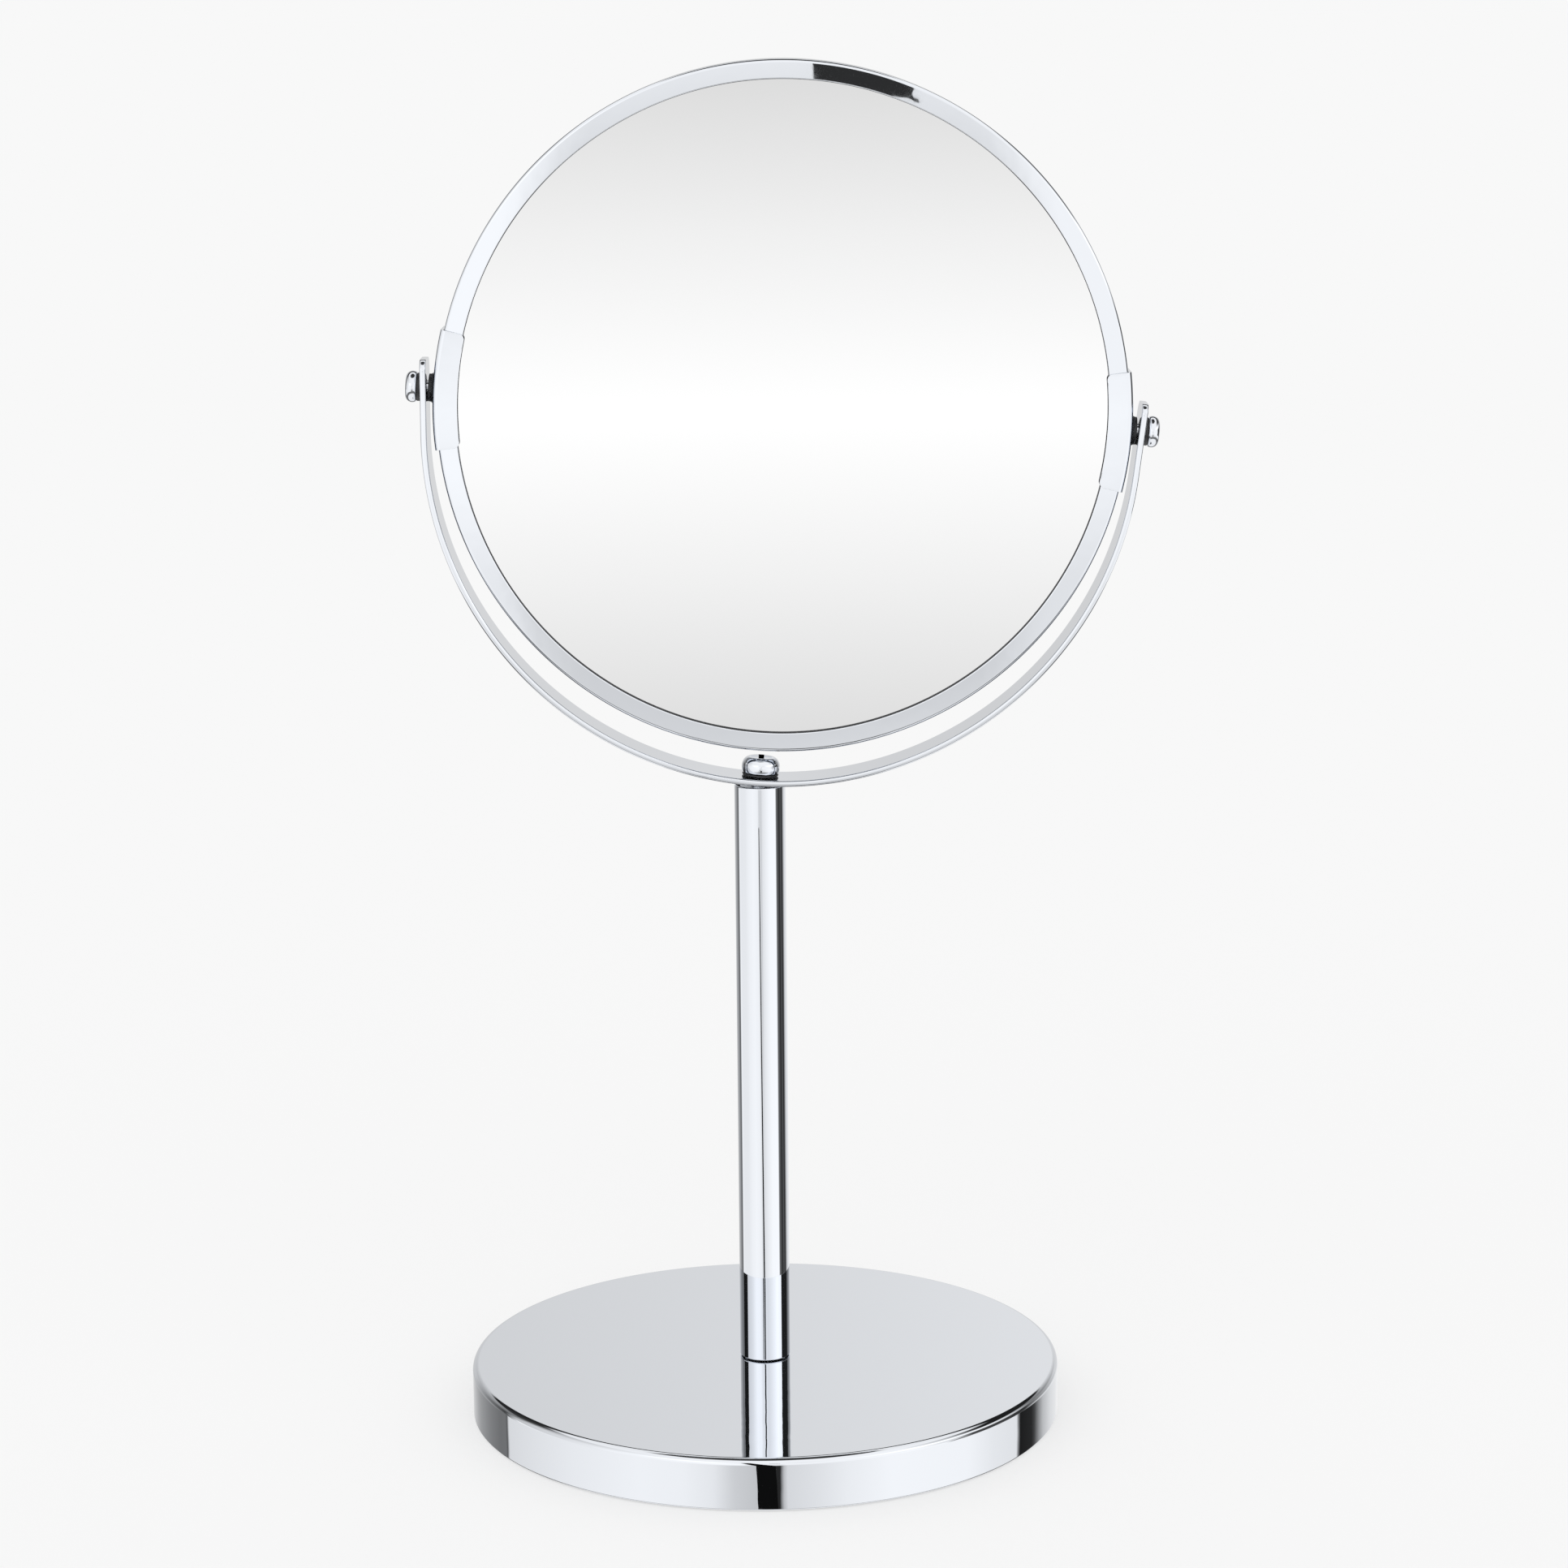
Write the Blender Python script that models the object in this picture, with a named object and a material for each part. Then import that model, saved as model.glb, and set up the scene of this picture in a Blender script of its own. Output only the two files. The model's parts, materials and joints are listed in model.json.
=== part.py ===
"""Table shaving mirror: a round two-sided mirror that tips over inside a sprung yoke, on a weighted stand.

+Z is up, +Y points to the back, and the origin is the middle of the pad's underside.
Every length is in metres, written as millimetres times MM.
"""

import math

import bmesh
import bpy
from mathutils import Matrix, Vector

MM = 0.001

# Clearances
seat_gap = 0.3 * MM  # between pieces that rest on each other
skin_gap = 0.1 * MM  # between thin pressed sheets that follow each other
bore_gap = 0.3 * MM  # all round a shank in its hole

# Base
base_radius = 74.65 * MM
base_height = 12.9 * MM  # the cover alone, without the pad's lip below it
base_edge_round = 1.6 * MM
cover_wall = 1.0 * MM
pad_thickness = 2.0 * MM
pad_stand_proud = 0.4 * MM  # how far the pad reaches below the cover
weight_boss_radius = 14.0 * MM
weight_rim_width = 11.4 * MM
weight_relief_share = 0.48  # depth of the casting's underside pocket over its thickness

# Screw through the base
base_screw_radius = 2.9 * MM
base_screw_head_width = 10.0 * MM  # across the flats
base_screw_head_height = 4.0 * MM
base_screw_length = 20.0 * MM
base_washer_radius = 7.5 * MM
base_washer_thickness = 1.0 * MM

# Post
post_radius = 6.35 * MM
post_wall = 0.8 * MM
post_length = 148.5 * MM
post_end_round = 0.25 * MM
foot_plug_length = 20.0 * MM
top_plug_length = 19.6 * MM
top_plug_recess = 0.4 * MM

# Yoke: one flat strip bent to an arc, with straight ends
yoke_lean = math.radians(4.0)  # how far the strip and its screw lean on the post
strip_width = 12.7 * MM
strip_thickness = 1.5 * MM
strip_end_spread = math.radians(3.6)  # how far each straight end leans outwards
strip_end_above_pivot = 7.0 * MM
strip_corner_round = 2.8 * MM
strip_edge_round = 0.25 * MM

# Screw that holds the yoke on the post
yoke_screw_radius = 2.0 * MM
yoke_screw_length = 14.0 * MM  # below the strip's underside
yoke_screw_head_radius = 4.75 * MM
yoke_screw_head_height = 4.1 * MM
yoke_washer_radius = 4.5 * MM
yoke_washer_thickness = 0.5 * MM

# Mirror head
rim_radius = 84.3 * MM
rim_clears_screw = 2.1 * MM  # as the head tips over the yoke's screw
rim_sheet = 1.0 * MM
rim_corner_round = 0.8 * MM
rim_lip_width = 4.8 * MM  # flat front and back faces
rim_seam = 0.4 * MM
glass_thickness = 2.0 * MM
magnifier_sag = 2.4 * MM
card_thickness = 0.4 * MM
ring_spacer_width = 5.0 * MM

# Clips over the rim at the two pivots
clip_sheet = 0.7 * MM
clip_length = 29.3 * MM
clip_bend_round = 0.5 * MM  # inside the fold

# Pivots
pivot_screw_radius = 1.5 * MM
pivot_head_radius = 3.85 * MM
pivot_head_height = 2.8 * MM
outer_washer_radius = 3.45 * MM
outer_washer_thickness = 0.75 * MM
inner_spacer_radius = 3.4 * MM
inner_spacer_thickness = 1.2 * MM
nut_thickness = 1.5 * MM
nut_height = 9.0 * MM
nut_hold_back = 0.4 * MM  # from the rim's inner wall

# Cross recess in the pan-headed screws
recess_span_share = 0.62  # over the head's diameter
recess_slot_share = 0.17
recess_depth_share = 0.42  # over the head's height
head_foot_share = 0.9  # radius at the foot of the head over its widest
head_crown_share = 0.6  # radius where the dome turns nearly flat
head_waist_share = 0.38  # height of the widest part over the head's
dome_share = 0.94
crown_flat_share = 0.9
tip_share = 0.7

# Facets
round_steps = 60
post_steps = 48
plug_steps = 32
small_steps = 24
clip_steps = 8
arc_steps = 3
past_end = 1.2  # a cutter's reach over the length it has to cross

# Base and post, from the values above
cover_bottom = pad_stand_proud
cover_top = cover_bottom + base_height
post_bottom = cover_top + seat_gap
post_top = post_bottom + post_length
yoke_seat = post_top + post_radius * math.tan(yoke_lean) + skin_gap
pivot_bore_radius = pivot_screw_radius + bore_gap
strip_bore_radius = yoke_screw_radius + bore_gap

# Head: the rim is as deep as what it holds
rim_depth = 2 * rim_sheet + 2 * glass_thickness + card_thickness + magnifier_sag + 4 * seat_gap
lip_radius = rim_radius - rim_lip_width
rim_inner_wall = rim_radius - rim_sheet
nut_outer_face = rim_inner_wall - nut_hold_back
glass_radius = nut_outer_face - nut_thickness - seat_gap

# Yoke, measured from its screw's seat. The strip follows the stack on each pivot, from the rim outwards
yoke_washer_bottom = strip_thickness + seat_gap
yoke_head_bottom = yoke_washer_bottom + yoke_washer_thickness + skin_gap
pivot_height = yoke_head_bottom + yoke_screw_head_height + rim_clears_screw + rim_radius
lean_room = outer_washer_radius * math.tan(strip_end_spread) + skin_gap / 2
clip_outer_face = rim_radius + skin_gap + clip_sheet
spacer_inner_face = clip_outer_face + skin_gap
spacer_outer_face = spacer_inner_face + inner_spacer_thickness
strip_outer_face = spacer_outer_face + lean_room + strip_thickness / math.cos(strip_end_spread)
washer_inner_face = strip_outer_face + lean_room
washer_outer_face = washer_inner_face + outer_washer_thickness
pivot_head_face = washer_outer_face + skin_gap
strip_bend_radius = (
    (strip_outer_face - pivot_height * math.tan(strip_end_spread))
    * math.cos(strip_end_spread)
    / (1 - math.sin(strip_end_spread))
)


def clear_scene():
    for item in list(bpy.data.objects):
        bpy.data.objects.remove(item, do_unlink=True)


def make_material(name, colour, metallic, roughness):
    material = bpy.data.materials.new(name)
    material.use_nodes = True
    shader = material.node_tree.nodes["Principled BSDF"]
    shader.inputs["Base Color"].default_value = (*colour, 1.0)
    shader.inputs["Metallic"].default_value = metallic
    shader.inputs["Roughness"].default_value = roughness
    return material


def make_frame(name, location=(0, 0, 0), lean=0.0, parent=None):
    """An empty that carries one rigid body's own axes."""
    frame = bpy.data.objects.new(name, None)
    bpy.context.collection.objects.link(frame)
    frame.empty_display_size = 10 * MM
    frame.parent = parent
    frame.location = location
    frame.rotation_euler = (0, lean, 0)
    return frame


def finish_shape(name, shape):
    """Turns a bmesh into an object with outward faces and smooth rounds."""
    bmesh.ops.remove_doubles(shape, verts=shape.verts, dist=1e-7)
    bmesh.ops.recalc_face_normals(shape, faces=shape.faces)
    mesh = bpy.data.meshes.new(name)
    shape.to_mesh(mesh)
    shape.free()
    mesh.shade_smooth()
    mesh.set_sharp_from_angle(angle=math.radians(30))
    piece = bpy.data.objects.new(name, mesh)
    bpy.context.collection.objects.link(piece)
    return piece


def place(piece, frame, material, location=(0, 0, 0), rotation=(0, 0, 0)):
    piece.parent = frame
    piece.location = location
    piece.rotation_euler = rotation
    piece.data.materials.append(material)
    return piece


def turned(name, outline, steps=round_steps, sweep=math.tau, start=0.0):
    """Spins (radius, height) points about Z. The outline closes unless both its ends are on the axis."""
    shape = bmesh.new()
    points = [shape.verts.new((radius, 0, height)) for radius, height in outline]
    pairs = list(zip(points, points[1:]))
    if outline[0][0] > 0 or outline[-1][0] > 0:
        pairs.append((points[-1], points[0]))
    edges = [shape.edges.new(pair) for pair in pairs]
    bmesh.ops.rotate(shape, verts=points, cent=(0, 0, 0), matrix=Matrix.Rotation(start, 3, "Z"))
    whole = math.isclose(sweep, math.tau)
    bmesh.ops.spin(
        shape,
        geom=points + edges,
        cent=(0, 0, 0),
        axis=(0, 0, 1),
        angle=sweep,
        steps=steps,
        use_merge=whole,
    )
    if not whole:
        open_edges = [edge for edge in shape.edges if edge.is_boundary]
        bmesh.ops.holes_fill(shape, edges=open_edges, sides=0)
    return finish_shape(name, shape)


def extruded(name, outline, height):
    """Raises a flat outline of (x, y) points by a height along Z."""
    shape = bmesh.new()
    face = shape.faces.new([shape.verts.new((x, y, 0)) for x, y in outline])
    raised = bmesh.ops.extrude_face_region(shape, geom=[face])["geom"]
    moved = [item for item in raised if isinstance(item, bmesh.types.BMVert)]
    bmesh.ops.translate(shape, verts=moved, vec=(0, 0, height))
    return finish_shape(name, shape)


def arc(centre, radius, first, last, steps=arc_steps):
    """Points on an arc, with both ends, from one angle to another in degrees."""
    angles = [math.radians(first + (last - first) * step / steps) for step in range(steps + 1)]
    return [(centre[0] + radius * math.cos(a), centre[1] + radius * math.sin(a)) for a in angles]


def ring_outline(inner, outer, bottom, top, chamfer=0.0):
    """A washer's cross-section, with a chamfer on its outer corners."""
    return [
        (inner, bottom),
        (outer - chamfer, bottom),
        (outer, bottom + chamfer),
        (outer, top - chamfer),
        (outer - chamfer, top),
        (inner, top),
    ]


def cut(piece, cutter):
    """Takes the cutter out of the piece. The cutter stays as a guide that isn't part of the model."""
    cutter.hide_render = True
    cutter.display_type = "WIRE"
    if cutter.parent is None:
        cutter.parent = piece.parent
    modifier = piece.modifiers.new("cut " + cutter.name, "BOOLEAN")
    modifier.operation = "DIFFERENCE"
    modifier.solver = "EXACT"
    modifier.object = cutter


def bore_cutter(name, radius, low, high, frame, rotation=(0, 0, 0), location=(0, 0, 0)):
    cutter = turned(name, [(0, low), (radius, low), (radius, high), (0, high)], steps=small_steps)
    cutter.parent = frame
    cutter.rotation_euler = rotation
    cutter.location = location
    return cutter


def cross_recess(name, head_radius, head_height, head_top, frame, rotation=(0, 0, 0)):
    """A plus-shaped cutter that sinks into the top of a pan head."""
    reach = head_radius * recess_span_share
    half = head_radius * recess_slot_share
    quarter = [(reach, -half), (reach, half), (half, half)]
    outline = []
    for turn in range(4):
        cos, sin = round(math.cos(turn * math.pi / 2)), round(math.sin(turn * math.pi / 2))
        outline += [(x * cos - y * sin, x * sin + y * cos) for x, y in quarter]
    depth = head_height * recess_depth_share
    cutter = extruded(name, outline, 2 * depth)
    cutter.parent = frame
    cutter.rotation_euler = rotation
    cutter.location = Matrix.Rotation(rotation[1], 3, "Y") @ Vector((0, 0, head_top - depth))
    return cutter


def pan_screw_outline(shank_radius, tip, under_head, head_radius, head_height):
    """Shank, then a pan head that bulges at its waist and ends nearly flat."""
    foot_radius = head_radius * head_foot_share
    crown_radius = head_radius * head_crown_share
    waist = under_head + head_height * head_waist_share
    top = under_head + head_height
    belly = []
    for step in range(1, 2 * arc_steps):
        turn = math.radians(90 * step / (2 * arc_steps))
        belly.append(
            (
                crown_radius + (head_radius - crown_radius) * math.cos(turn),
                waist + (top - waist) * dome_share * math.sin(turn),
            )
        )
    return [
        (0, tip),
        (shank_radius * tip_share, tip),
        (shank_radius, tip + shank_radius * (1 - tip_share)),
        (shank_radius, under_head),
        (foot_radius, under_head),
        (head_radius, waist),
        *belly,
        (crown_radius * crown_flat_share, top - (top - waist) * (1 - dome_share) / 2),
        (0, top),
    ]


def build_stand(frame, look):
    """Base cover, its casting, pad and screw, and the post with its two plugs."""
    inner_radius = base_radius - cover_wall
    inner_top = cover_top - cover_wall
    inner_round = base_edge_round - cover_wall
    screw_hole = base_screw_radius + bore_gap
    cover = [
        (screw_hole, cover_top),
        (screw_hole, inner_top),
        *reversed(arc((inner_radius - inner_round, inner_top - inner_round), inner_round, 0, 90)),
        (inner_radius, cover_bottom),
        (base_radius, cover_bottom),
        *arc((base_radius - base_edge_round, cover_top - base_edge_round), base_edge_round, 0, 90, 4),
    ]
    place(turned("base_cover", cover), frame, look["chrome"])

    weight_bottom = pad_thickness + seat_gap
    weight_top = inner_top - seat_gap
    weight_radius = inner_radius - seat_gap
    boss_pocket = weight_bottom + (weight_top - weight_bottom) * weight_relief_share
    head_room = weight_bottom + base_screw_head_height + base_washer_thickness + 2 * seat_gap
    weight = [
        (screw_hole, weight_top),
        (screw_hole, head_room),
        (base_washer_radius + bore_gap, head_room),
        (base_washer_radius + bore_gap, weight_bottom),
        (weight_boss_radius, weight_bottom),
        (weight_boss_radius, boss_pocket),
        (weight_radius - weight_rim_width, boss_pocket),
        (weight_radius - weight_rim_width, weight_bottom),
        (weight_radius, weight_bottom),
        (weight_radius, weight_top - inner_round),
        (weight_radius - inner_round, weight_top),
    ]
    place(turned("base_weight", weight), frame, look["iron"])

    pad_radius = inner_radius - seat_gap
    pad = [(0, 0), (pad_radius, 0), (pad_radius, pad_thickness), (0, pad_thickness)]
    place(turned("base_pad", pad), frame, look["pad"])

    washer_top = head_room - seat_gap
    washer_bottom = washer_top - base_washer_thickness
    washer = ring_outline(screw_hole, base_washer_radius, washer_bottom, washer_top)
    place(turned("base_washer", washer, small_steps), frame, look["zinc"])

    head_top = washer_bottom - seat_gap
    head_bottom = head_top - base_screw_head_height
    screw_tip = head_top + base_screw_length
    corner = base_screw_head_width / math.sqrt(3)
    flats = [(corner * math.cos(math.pi * k / 3), corner * math.sin(math.pi * k / 3)) for k in range(6)]
    screw = extruded("base_screw", flats, base_screw_head_height)
    place(screw, frame, look["zinc"], location=(0, 0, head_bottom))
    shank_start = head_top - base_screw_head_height / 2
    shank_outline = [
        (0, shank_start),
        (base_screw_radius, shank_start),
        (base_screw_radius, screw_tip),
        (0, screw_tip),
    ]
    shank = turned("base_screw_shank", shank_outline, small_steps)
    cut(screw, shank)
    screw.modifiers[-1].operation = "UNION"
    shank.parent = frame

    post = ring_outline(post_radius - post_wall, post_radius, post_bottom, post_top, post_end_round)
    place(turned("post_tube", post, post_steps), frame, look["chrome"])

    plug_radius = post_radius - post_wall - seat_gap
    foot_outline = ring_outline(0, plug_radius, post_bottom, post_bottom + foot_plug_length, seat_gap)
    foot = turned("post_foot_plug", foot_outline, plug_steps)
    place(foot, frame, look["zinc"])
    foot_bore_end = screw_tip + seat_gap
    cut(foot, bore_cutter("foot_bore", screw_hole, post_bottom - seat_gap, foot_bore_end, frame))

    top_end = post_top - top_plug_recess
    top_outline = ring_outline(0, plug_radius, top_end - top_plug_length, top_end, seat_gap)
    top = turned("post_top_plug", top_outline, plug_steps)
    place(top, frame, look["zinc"])
    reach = past_end * top_plug_length
    leaning = (0, yoke_lean, 0)
    seat = (0, 0, yoke_seat)
    cut(top, bore_cutter("top_bore", strip_bore_radius, -reach, reach / 4, frame, leaning, seat))


def strip_station(distance):
    """Outer-face point (x, z) and inward direction at a signed distance from the strip's lowest point."""
    side = math.copysign(1, distance)
    bend = math.pi / 2 - strip_end_spread
    arc_length = strip_bend_radius * bend
    turn = min(abs(distance), arc_length) / strip_bend_radius
    beyond = max(abs(distance) - arc_length, 0)
    x = strip_bend_radius * math.sin(turn) + beyond * math.cos(turn)
    z = strip_bend_radius * (1 - math.cos(turn)) + beyond * math.sin(turn)
    return side * x, z, -side * math.sin(turn), math.cos(turn)


def strip_half_width(distance, half_length):
    """Half the strip's width, drawn in where its end corners are rounded."""
    past = abs(distance) - (half_length - strip_corner_round)
    if past <= 0:
        return strip_width / 2
    drop = strip_corner_round - math.sqrt(max(strip_corner_round**2 - past**2, 0))
    return strip_width / 2 - drop


def build_yoke(frame, look):
    """Strip, its screw and washer, and the washers under the two pivot screws' heads."""
    bend = math.pi / 2 - strip_end_spread
    bend_top = strip_bend_radius * (1 - math.cos(bend))
    straight = (pivot_height + strip_end_above_pivot - bend_top) / math.cos(strip_end_spread)
    bend_length = strip_bend_radius * bend
    half_length = bend_length + straight
    bend_steps = 22
    distances = [bend_length * step / bend_steps for step in range(bend_steps + 1)]
    distances += [bend_length + (straight - strip_corner_round) * share for share in (0.5, 1.0)]
    for step in range(1, arc_steps + 1):
        drawn_in = 1 - math.sin(math.pi / 2 * step / arc_steps)
        distances.append(half_length - strip_corner_round * drawn_in)
    distances = [-d for d in reversed(distances[1:])] + distances

    shape = bmesh.new()
    rows = []
    for distance in distances:
        x, z, inward_x, inward_z = strip_station(distance)
        half = strip_half_width(distance, half_length)
        section = [
            (-half + strip_edge_round, 0),
            (half - strip_edge_round, 0),
            (half, strip_edge_round),
            (half, strip_thickness - strip_edge_round),
            (half - strip_edge_round, strip_thickness),
            (-half + strip_edge_round, strip_thickness),
            (-half, strip_thickness - strip_edge_round),
            (-half, strip_edge_round),
        ]
        row = [(x + inward_x * depth, y, z + inward_z * depth) for y, depth in section]
        rows.append([shape.verts.new(point) for point in row])
    for row, following in zip(rows, rows[1:]):
        for k in range(len(row)):
            after = (k + 1) % len(row)
            shape.faces.new((row[k], row[after], following[after], following[k]))
    shape.faces.new(rows[0])
    shape.faces.new(rows[-1])
    strip = place(finish_shape("yoke_strip", shape), frame, look["chrome"])
    below, above = -2 * strip_thickness, 3 * strip_thickness
    cut(strip, bore_cutter("strip_post_bore", strip_bore_radius, below, above, frame))
    span = past_end * strip_bend_radius
    across = (0, math.pi / 2, 0)
    pivot = (0, 0, pivot_height)
    cut(strip, bore_cutter("strip_pivot_bore", pivot_bore_radius, -span, span, frame, across, pivot))

    washer_top = yoke_washer_bottom + yoke_washer_thickness
    washer = ring_outline(strip_bore_radius, yoke_washer_radius, yoke_washer_bottom, washer_top)
    place(turned("yoke_washer", washer, small_steps), frame, look["nylon"])

    radius, height = yoke_screw_head_radius, yoke_screw_head_height
    outline = pan_screw_outline(yoke_screw_radius, -yoke_screw_length, yoke_head_bottom, radius, height)
    screw = place(turned("yoke_screw", outline, small_steps), frame, look["chrome"])
    head_top = yoke_head_bottom + height
    cut(screw, cross_recess("yoke_screw_recess", radius, height, head_top, frame))


def build_head(frame, look):
    """Rim, both mirrors and what lies between them."""
    front_to_back = (-math.pi / 2, 0, 0)
    half_depth = rim_depth / 2
    corner_radius = rim_radius - rim_corner_round
    corner_depth = half_depth - rim_corner_round
    rim = [
        (lip_radius, half_depth - rim_sheet),
        (lip_radius, half_depth),
        *reversed(arc((corner_radius, corner_depth), rim_corner_round, 0, 90)),
        *reversed(arc((corner_radius, -corner_depth), rim_corner_round, -90, 0)),
        (lip_radius, -half_depth),
        (lip_radius, rim_sheet - half_depth),
        (rim_inner_wall, rim_sheet - half_depth),
        (rim_inner_wall, half_depth - rim_sheet),
    ]
    rim_piece = place(turned("rim", rim), frame, look["chrome"], rotation=front_to_back)
    across = (0, math.pi / 2, 0)
    span = past_end * rim_radius
    cut(rim_piece, bore_cutter("rim_pivot_bore", pivot_bore_radius, -span, span, frame, across))
    slot = [
        (lip_radius - rim_sheet, -rim_seam / 2),
        (rim_radius + rim_sheet, -rim_seam / 2),
        (rim_radius + rim_sheet, rim_seam / 2),
        (lip_radius - rim_sheet, rim_seam / 2),
    ]
    seam = extruded("rim_seam", slot, 2 * rim_depth)
    seam.parent = frame
    seam.rotation_euler = front_to_back
    seam.location = (0, -rim_depth, 0)
    cut(rim_piece, seam)

    front = rim_sheet + seat_gap - half_depth
    front_back = front + glass_thickness
    flat_glass = ring_outline(0, glass_radius, front, front_back, glass_thickness / 8)
    place(turned("front_mirror", flat_glass), frame, look["mirror"], rotation=front_to_back)

    card_front = front_back + seat_gap
    card_back = card_front + card_thickness
    card_radius = glass_radius - seat_gap
    card = [(0, card_front), (card_radius, card_front), (card_radius, card_back), (0, card_back)]
    place(turned("backing_card", card), frame, look["card"], rotation=front_to_back)

    rear = half_depth - rim_sheet - seat_gap
    dish_steps = 4
    dish = []
    for step in range(dish_steps + 1):
        share = step / dish_steps
        dish.append((glass_radius * share, rear - magnifier_sag * (1 - share**2)))
    back_of_dish = [(radius, height - glass_thickness) for radius, height in dish]
    dished_glass = back_of_dish + dish[::-1]
    place(turned("rear_mirror", dished_glass), frame, look["mirror"], rotation=front_to_back)

    ring_inner = glass_radius - ring_spacer_width
    dish_at_ring = rear - glass_thickness - magnifier_sag * (1 - (ring_inner / glass_radius) ** 2)
    ring = ring_outline(ring_inner, glass_radius - seat_gap, card_back + seat_gap, dish_at_ring - seat_gap)
    place(turned("ring_spacer", ring), frame, look["card"], rotation=front_to_back)

    for side, label in ((-1, "left"), (1, "right")):
        outward = (0, side * math.pi / 2, 0)
        place(make_clip(f"clip_{label}", side, frame), frame, look["chrome"], rotation=front_to_back)

        up, out = nut_height / 2, half_depth - rim_sheet - seat_gap
        sides = [(-up, -out), (up, -out), (up, out), (-up, out)]
        nut = extruded(f"pivot_nut_{label}", sides, nut_thickness)
        nut_inner_face = nut_outer_face - nut_thickness
        place(nut, frame, look["zinc"], (side * nut_inner_face, 0, 0), outward)
        start, end = nut_inner_face - nut_thickness, nut_outer_face + nut_thickness
        cut(nut, bore_cutter(f"nut_bore_{label}", pivot_bore_radius, start, end, frame, outward))


def make_clip(name, side, frame):
    """A sheet saddle folded over the rim, with a hole for the pivot screw."""
    half_depth = rim_depth / 2 + skin_gap
    inner_wall = rim_radius + skin_gap
    outer_wall = inner_wall + clip_sheet
    outer_round = clip_bend_round + clip_sheet
    outer_depth = half_depth + clip_sheet
    bend_radius, bend_depth = outer_wall - outer_round, outer_depth - outer_round
    outline = [
        (lip_radius, half_depth),
        (lip_radius, outer_depth),
        *reversed(arc((bend_radius, bend_depth), outer_round, 0, 90)),
        *reversed(arc((bend_radius, -bend_depth), outer_round, -90, 0)),
        (lip_radius, -outer_depth),
        (lip_radius, -half_depth),
        *arc((inner_wall - clip_bend_round, clip_bend_round - half_depth), clip_bend_round, -90, 0),
        *arc((inner_wall - clip_bend_round, half_depth - clip_bend_round), clip_bend_round, 0, 90),
    ]
    sweep = clip_length / rim_radius
    middle = 0.0 if side > 0 else math.pi
    clip = turned(name, outline, clip_steps, sweep, middle - sweep / 2)
    outward = (0, side * math.pi / 2, 0)
    start, end = inner_wall - outer_round, outer_wall + outer_round
    cut(clip, bore_cutter(f"{name}_bore", pivot_bore_radius, start, end, frame, outward))
    return clip


def build_pivots(yoke_frame, head_frame, look):
    """What turns in each strip end: the outer washer stays on the yoke, the rest goes with the head."""
    tip = glass_radius + seat_gap
    radius, height = pivot_head_radius, pivot_head_height
    head_top = pivot_head_face + height
    for side, label in ((-1, "left"), (1, "right")):
        outward = (0, side * math.pi / 2, 0)
        outline = ring_outline(pivot_bore_radius, inner_spacer_radius, spacer_inner_face, spacer_outer_face)
        spacer = turned(f"inner_spacer_{label}", outline, small_steps)
        place(spacer, head_frame, look["nylon"], rotation=outward)

        outline = ring_outline(pivot_bore_radius, outer_washer_radius, washer_inner_face, washer_outer_face)
        washer = turned(f"outer_washer_{label}", outline, small_steps)
        place(washer, yoke_frame, look["nylon"], (0, 0, pivot_height), outward)

        outline = pan_screw_outline(pivot_screw_radius, tip, pivot_head_face, radius, height)
        screw = turned(f"pivot_screw_{label}", outline, small_steps)
        place(screw, head_frame, look["chrome"], rotation=outward)
        cut(screw, cross_recess(f"pivot_recess_{label}", radius, height, head_top, head_frame, outward))


def main():
    clear_scene()
    look = {
        "chrome": make_material("chrome_plate", (0.86, 0.87, 0.89), 1.0, 0.04),
        "mirror": make_material("silvered_glass", (0.93, 0.94, 0.95), 1.0, 0.01),
        "nylon": make_material("black_nylon", (0.02, 0.02, 0.022), 0.0, 0.45),
        "pad": make_material("foam_pad", (0.03, 0.03, 0.03), 0.0, 0.9),
        "iron": make_material("cast_iron", (0.16, 0.16, 0.17), 1.0, 0.6),
        "zinc": make_material("zinc_plated_steel", (0.62, 0.63, 0.64), 1.0, 0.3),
        "card": make_material("grey_card", (0.35, 0.33, 0.3), 0.0, 0.85),
    }
    stand = make_frame("stand_frame")
    yoke = make_frame("yoke_frame", (0, 0, yoke_seat), yoke_lean)
    head = make_frame("head_frame", (0, 0, pivot_height), parent=yoke)
    build_stand(stand, look)
    build_yoke(yoke, look)
    build_head(head, look)
    build_pivots(yoke, head, look)


main()
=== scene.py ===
import json
import math

import bmesh
import bpy
from mathutils import Matrix, Vector


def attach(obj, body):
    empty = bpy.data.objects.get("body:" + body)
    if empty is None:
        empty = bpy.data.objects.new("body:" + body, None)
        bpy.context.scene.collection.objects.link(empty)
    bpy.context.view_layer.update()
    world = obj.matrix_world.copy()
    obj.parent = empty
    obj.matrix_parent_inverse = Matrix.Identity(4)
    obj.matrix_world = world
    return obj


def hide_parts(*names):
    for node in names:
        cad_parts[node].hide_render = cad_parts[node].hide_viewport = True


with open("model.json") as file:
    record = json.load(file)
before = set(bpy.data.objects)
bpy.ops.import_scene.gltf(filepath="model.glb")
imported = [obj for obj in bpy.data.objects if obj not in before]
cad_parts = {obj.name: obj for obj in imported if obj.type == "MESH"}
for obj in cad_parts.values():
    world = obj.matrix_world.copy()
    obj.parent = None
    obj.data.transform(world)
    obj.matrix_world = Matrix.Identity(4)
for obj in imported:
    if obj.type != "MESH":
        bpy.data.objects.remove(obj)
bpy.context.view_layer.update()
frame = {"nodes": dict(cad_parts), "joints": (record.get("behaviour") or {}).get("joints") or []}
scene = bpy.context.scene
mm = 0.001


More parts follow.
